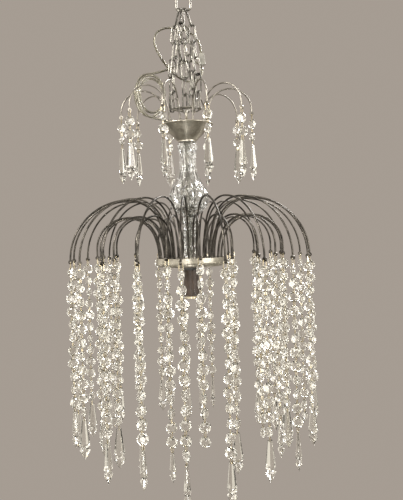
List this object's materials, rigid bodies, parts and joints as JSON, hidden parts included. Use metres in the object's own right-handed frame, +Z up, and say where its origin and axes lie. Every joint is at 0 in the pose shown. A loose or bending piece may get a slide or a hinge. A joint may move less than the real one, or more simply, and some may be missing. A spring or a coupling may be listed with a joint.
{
  "type": "crystal chandelier",
  "caption": "Waterfall chandelier on a chain: arched wires carry strings of octagon crystals and spear drops, round a glass stem, a pan and a candle lampholder.",
  "frame": {"origin": "the point inside the top of the hanging ring where the ceiling hook bears", "axes": "+Z up along the hanging axis, -Y towards the front of the picture, +X to its right"},
  "size_m": [0.3394, 0.3396, 0.6581],
  "materials": {
    "chain_nickel": "bright",
    "satin_nickel": "satin",
    "silver_bronze": "satin",
    "dark_bronze": "satin",
    "crystal": "polished",
    "clear_pvc": "clear",
    "connector_plastic": "matt",
    "black_steel": "black",
    "holder_plastic": "dark brown",
    "brass": "plain"
  },
  "bodies": {
    "ring": {"hanging_ring": "chain_nickel"},
    "chandelier": {"hanging_chain": "chain_nickel", "spare_chain_loops": "chain_nickel", "clear_flex": "clear_pvc", "flex_connector": "connector_plastic", "top_eye_and_gland": "satin_nickel", "upper_cup": "satin_nickel", "upper_arm_plate": "satin_nickel", "upper_arm_wires": "silver_bronze", "glass_vase": "crystal", "glass_column": "crystal", "centre_tube": "satin_nickel", "stem_washers": "satin_nickel", "pan": "satin_nickel", "lower_arm_plate": "satin_nickel", "outer_arm_wires": "dark_bronze", "inner_arm_wires": "dark_bronze", "pan_nut": "black_steel", "lampholder_body": "holder_plastic", "lampholder_contacts": "brass"},
    "outer_strand_01": {"outer_strand_01": "crystal"},
    "outer_strand_02": {"outer_strand_02": "crystal"},
    "outer_strand_03": {"outer_strand_03": "crystal"},
    "outer_strand_04": {"outer_strand_04": "crystal"},
    "outer_strand_05": {"outer_strand_05": "crystal"},
    "outer_strand_06": {"outer_strand_06": "crystal"},
    "outer_strand_07": {"outer_strand_07": "crystal"},
    "outer_strand_08": {"outer_strand_08": "crystal"},
    "outer_strand_09": {"outer_strand_09": "crystal"},
    "outer_strand_10": {"outer_strand_10": "crystal"},
    "outer_strand_11": {"outer_strand_11": "crystal"},
    "outer_strand_12": {"outer_strand_12": "crystal"},
    "outer_strand_13": {"outer_strand_13": "crystal"},
    "outer_strand_14": {"outer_strand_14": "crystal"},
    "outer_strand_15": {"outer_strand_15": "crystal"},
    "outer_strand_16": {"outer_strand_16": "crystal"},
    "outer_strand_17": {"outer_strand_17": "crystal"},
    "outer_strand_18": {"outer_strand_18": "crystal"},
    "outer_strand_19": {"outer_strand_19": "crystal"},
    "outer_strand_20": {"outer_strand_20": "crystal"},
    "inner_strand_pair_01": {"inner_strand_pair_01": "crystal"},
    "inner_strand_pair_02": {"inner_strand_pair_02": "crystal"},
    "inner_strand_pair_03": {"inner_strand_pair_03": "crystal"},
    "inner_strand_pair_04": {"inner_strand_pair_04": "crystal"},
    "inner_strand_pair_05": {"inner_strand_pair_05": "crystal"},
    "inner_strand_pair_06": {"inner_strand_pair_06": "crystal"},
    "inner_strand_pair_07": {"inner_strand_pair_07": "crystal"},
    "inner_strand_pair_08": {"inner_strand_pair_08": "crystal"},
    "inner_strand_pair_09": {"inner_strand_pair_09": "crystal"},
    "inner_strand_pair_10": {"inner_strand_pair_10": "crystal"},
    "upper_drop_01": {"upper_drop_01": "crystal"},
    "upper_drop_02": {"upper_drop_02": "crystal"},
    "upper_drop_03": {"upper_drop_03": "crystal"},
    "upper_drop_04": {"upper_drop_04": "crystal"},
    "upper_drop_05": {"upper_drop_05": "crystal"},
    "upper_drop_06": {"upper_drop_06": "crystal"},
    "upper_drop_07": {"upper_drop_07": "crystal"},
    "upper_drop_08": {"upper_drop_08": "crystal"},
    "upper_drop_09": {"upper_drop_09": "crystal"},
    "upper_drop_10": {"upper_drop_10": "crystal"}
  },
  "joints": [
    {"name": "ring_swing", "type": "hinge", "parent": "ring", "child": "chandelier", "pos_m": [0, 0, -0.0355], "axis": [1, 0, 0], "range_deg": [-12, 12]},
    {"name": "outer_strand_01_swing", "type": "hinge", "parent": "chandelier", "child": "outer_strand_01", "pos_m": [-0.00853, -0.16278, -0.3769], "axis": [-0.9986, 0.0523, 0], "range_deg": [-8, 25]},
    {"name": "outer_strand_02_swing", "type": "hinge", "parent": "chandelier", "child": "outer_strand_02", "pos_m": [0.04219, -0.15745, -0.3769], "axis": [-0.9659, -0.2588, 0], "range_deg": [-8, 25]},
    {"name": "outer_strand_03_swing", "type": "hinge", "parent": "chandelier", "child": "outer_strand_03", "pos_m": [0.08878, -0.1367, -0.3769], "axis": [-0.8387, -0.5446, 0], "range_deg": [-8, 25]},
    {"name": "outer_strand_04_swing", "type": "hinge", "parent": "chandelier", "child": "outer_strand_04", "pos_m": [0.12668, -0.10258, -0.3769], "axis": [-0.6293, -0.7771, 0], "range_deg": [-8, 25]},
    {"name": "outer_strand_05_swing", "type": "hinge", "parent": "chandelier", "child": "outer_strand_05", "pos_m": [0.15217, -0.05841, -0.3769], "axis": [-0.3584, -0.9336, 0], "range_deg": [-8, 25]},
    {"name": "outer_strand_06_swing", "type": "hinge", "parent": "chandelier", "child": "outer_strand_06", "pos_m": [0.16278, -0.00853, -0.3769], "axis": [-0.0523, -0.9986, 0], "range_deg": [-8, 25]},
    {"name": "outer_strand_07_swing", "type": "hinge", "parent": "chandelier", "child": "outer_strand_07", "pos_m": [0.15745, 0.04219, -0.3769], "axis": [0.2588, -0.9659, 0], "range_deg": [-8, 25]},
    {"name": "outer_strand_08_swing", "type": "hinge", "parent": "chandelier", "child": "outer_strand_08", "pos_m": [0.1367, 0.08878, -0.3769], "axis": [0.5446, -0.8387, 0], "range_deg": [-8, 25]},
    {"name": "outer_strand_09_swing", "type": "hinge", "parent": "chandelier", "child": "outer_strand_09", "pos_m": [0.10258, 0.12668, -0.3769], "axis": [0.7771, -0.6293, 0], "range_deg": [-8, 25]},
    {"name": "outer_strand_10_swing", "type": "hinge", "parent": "chandelier", "child": "outer_strand_10", "pos_m": [0.05841, 0.15217, -0.3769], "axis": [0.9336, -0.3584, 0], "range_deg": [-8, 25]},
    {"name": "outer_strand_11_swing", "type": "hinge", "parent": "chandelier", "child": "outer_strand_11", "pos_m": [0.00853, 0.16278, -0.3769], "axis": [0.9986, -0.0523, 0], "range_deg": [-8, 25]},
    {"name": "outer_strand_12_swing", "type": "hinge", "parent": "chandelier", "child": "outer_strand_12", "pos_m": [-0.04219, 0.15745, -0.3769], "axis": [0.9659, 0.2588, 0], "range_deg": [-8, 25]},
    {"name": "outer_strand_13_swing", "type": "hinge", "parent": "chandelier", "child": "outer_strand_13", "pos_m": [-0.08878, 0.1367, -0.3769], "axis": [0.8387, 0.5446, 0], "range_deg": [-8, 25]},
    {"name": "outer_strand_14_swing", "type": "hinge", "parent": "chandelier", "child": "outer_strand_14", "pos_m": [-0.12668, 0.10258, -0.3769], "axis": [0.6293, 0.7771, 0], "range_deg": [-8, 25]},
    {"name": "outer_strand_15_swing", "type": "hinge", "parent": "chandelier", "child": "outer_strand_15", "pos_m": [-0.15217, 0.05841, -0.3769], "axis": [0.3584, 0.9336, 0], "range_deg": [-8, 25]},
    {"name": "outer_strand_16_swing", "type": "hinge", "parent": "chandelier", "child": "outer_strand_16", "pos_m": [-0.16278, 0.00853, -0.3769], "axis": [0.0523, 0.9986, 0], "range_deg": [-8, 25]},
    {"name": "outer_strand_17_swing", "type": "hinge", "parent": "chandelier", "child": "outer_strand_17", "pos_m": [-0.15745, -0.04219, -0.3769], "axis": [-0.2588, 0.9659, 0], "range_deg": [-8, 25]},
    {"name": "outer_strand_18_swing", "type": "hinge", "parent": "chandelier", "child": "outer_strand_18", "pos_m": [-0.1367, -0.08878, -0.3769], "axis": [-0.5446, 0.8387, 0], "range_deg": [-8, 25]},
    {"name": "outer_strand_19_swing", "type": "hinge", "parent": "chandelier", "child": "outer_strand_19", "pos_m": [-0.10258, -0.12668, -0.3769], "axis": [-0.7771, 0.6293, 0], "range_deg": [-8, 25]},
    {"name": "outer_strand_20_swing", "type": "hinge", "parent": "chandelier", "child": "outer_strand_20", "pos_m": [-0.05841, -0.15217, -0.3769], "axis": [-0.9336, 0.3584, 0], "range_deg": [-8, 25]},
    {"name": "inner_strand_pair_01_swing", "type": "hinge", "parent": "chandelier", "child": "inner_strand_pair_01", "pos_m": [0.03247, -0.12116, -0.3734], "axis": [-0.9659, -0.2588, 0], "range_deg": [-6, 20]},
    {"name": "inner_strand_pair_02_swing", "type": "hinge", "parent": "chandelier", "child": "inner_strand_pair_02", "pos_m": [0.09748, -0.07894, -0.3734], "axis": [-0.6293, -0.7771, 0], "range_deg": [-6, 20]},
    {"name": "inner_strand_pair_03_swing", "type": "hinge", "parent": "chandelier", "child": "inner_strand_pair_03", "pos_m": [0.12526, -0.00656, -0.3734], "axis": [-0.0523, -0.9986, 0], "range_deg": [-6, 20]},
    {"name": "inner_strand_pair_04_swing", "type": "hinge", "parent": "chandelier", "child": "inner_strand_pair_04", "pos_m": [0.1052, 0.06832, -0.3734], "axis": [0.5446, -0.8387, 0], "range_deg": [-6, 20]},
    {"name": "inner_strand_pair_05_swing", "type": "hinge", "parent": "chandelier", "child": "inner_strand_pair_05", "pos_m": [0.04495, 0.11711, -0.3734], "axis": [0.9336, -0.3584, 0], "range_deg": [-6, 20]},
    {"name": "inner_strand_pair_06_swing", "type": "hinge", "parent": "chandelier", "child": "inner_strand_pair_06", "pos_m": [-0.03247, 0.12116, -0.3734], "axis": [0.9659, 0.2588, 0], "range_deg": [-6, 20]},
    {"name": "inner_strand_pair_07_swing", "type": "hinge", "parent": "chandelier", "child": "inner_strand_pair_07", "pos_m": [-0.09748, 0.07894, -0.3734], "axis": [0.6293, 0.7771, 0], "range_deg": [-6, 20]},
    {"name": "inner_strand_pair_08_swing", "type": "hinge", "parent": "chandelier", "child": "inner_strand_pair_08", "pos_m": [-0.12526, 0.00656, -0.3734], "axis": [0.0523, 0.9986, 0], "range_deg": [-6, 20]},
    {"name": "inner_strand_pair_09_swing", "type": "hinge", "parent": "chandelier", "child": "inner_strand_pair_09", "pos_m": [-0.1052, -0.06832, -0.3734], "axis": [-0.5446, 0.8387, 0], "range_deg": [-6, 20]},
    {"name": "inner_strand_pair_10_swing", "type": "hinge", "parent": "chandelier", "child": "inner_strand_pair_10", "pos_m": [-0.04495, -0.11711, -0.3734], "axis": [-0.9336, 0.3584, 0], "range_deg": [-6, 20]},
    {"name": "upper_drop_01_swing", "type": "hinge", "parent": "chandelier", "child": "upper_drop_01", "pos_m": [-0.02781, -0.0856, -0.1814], "axis": [-0.9511, 0.309, 0], "range_deg": [-20, 30]},
    {"name": "upper_drop_02_swing", "type": "hinge", "parent": "chandelier", "child": "upper_drop_02", "pos_m": [0.02781, -0.0856, -0.1814], "axis": [-0.9511, -0.309, 0], "range_deg": [-20, 30]},
    {"name": "upper_drop_03_swing", "type": "hinge", "parent": "chandelier", "child": "upper_drop_03", "pos_m": [0.07281, -0.0529, -0.1814], "axis": [-0.5878, -0.809, 0], "range_deg": [-20, 30]},
    {"name": "upper_drop_04_swing", "type": "hinge", "parent": "chandelier", "child": "upper_drop_04", "pos_m": [0.09, 0, -0.1814], "axis": [0, -1, 0], "range_deg": [-20, 30]},
    {"name": "upper_drop_05_swing", "type": "hinge", "parent": "chandelier", "child": "upper_drop_05", "pos_m": [0.07281, 0.0529, -0.1814], "axis": [0.5878, -0.809, 0], "range_deg": [-20, 30]},
    {"name": "upper_drop_06_swing", "type": "hinge", "parent": "chandelier", "child": "upper_drop_06", "pos_m": [0.02781, 0.0856, -0.1814], "axis": [0.9511, -0.309, 0], "range_deg": [-20, 30]},
    {"name": "upper_drop_07_swing", "type": "hinge", "parent": "chandelier", "child": "upper_drop_07", "pos_m": [-0.02781, 0.0856, -0.1814], "axis": [0.9511, 0.309, 0], "range_deg": [-20, 30]},
    {"name": "upper_drop_08_swing", "type": "hinge", "parent": "chandelier", "child": "upper_drop_08", "pos_m": [-0.07281, 0.0529, -0.1814], "axis": [0.5878, 0.809, 0], "range_deg": [-20, 30]},
    {"name": "upper_drop_09_swing", "type": "hinge", "parent": "chandelier", "child": "upper_drop_09", "pos_m": [-0.09, 0, -0.1814], "axis": [0, 1, 0], "range_deg": [-20, 30]},
    {"name": "upper_drop_10_swing", "type": "hinge", "parent": "chandelier", "child": "upper_drop_10", "pos_m": [-0.07281, -0.0529, -0.1814], "axis": [-0.5878, 0.809, 0], "range_deg": [-20, 30]}
  ]
}
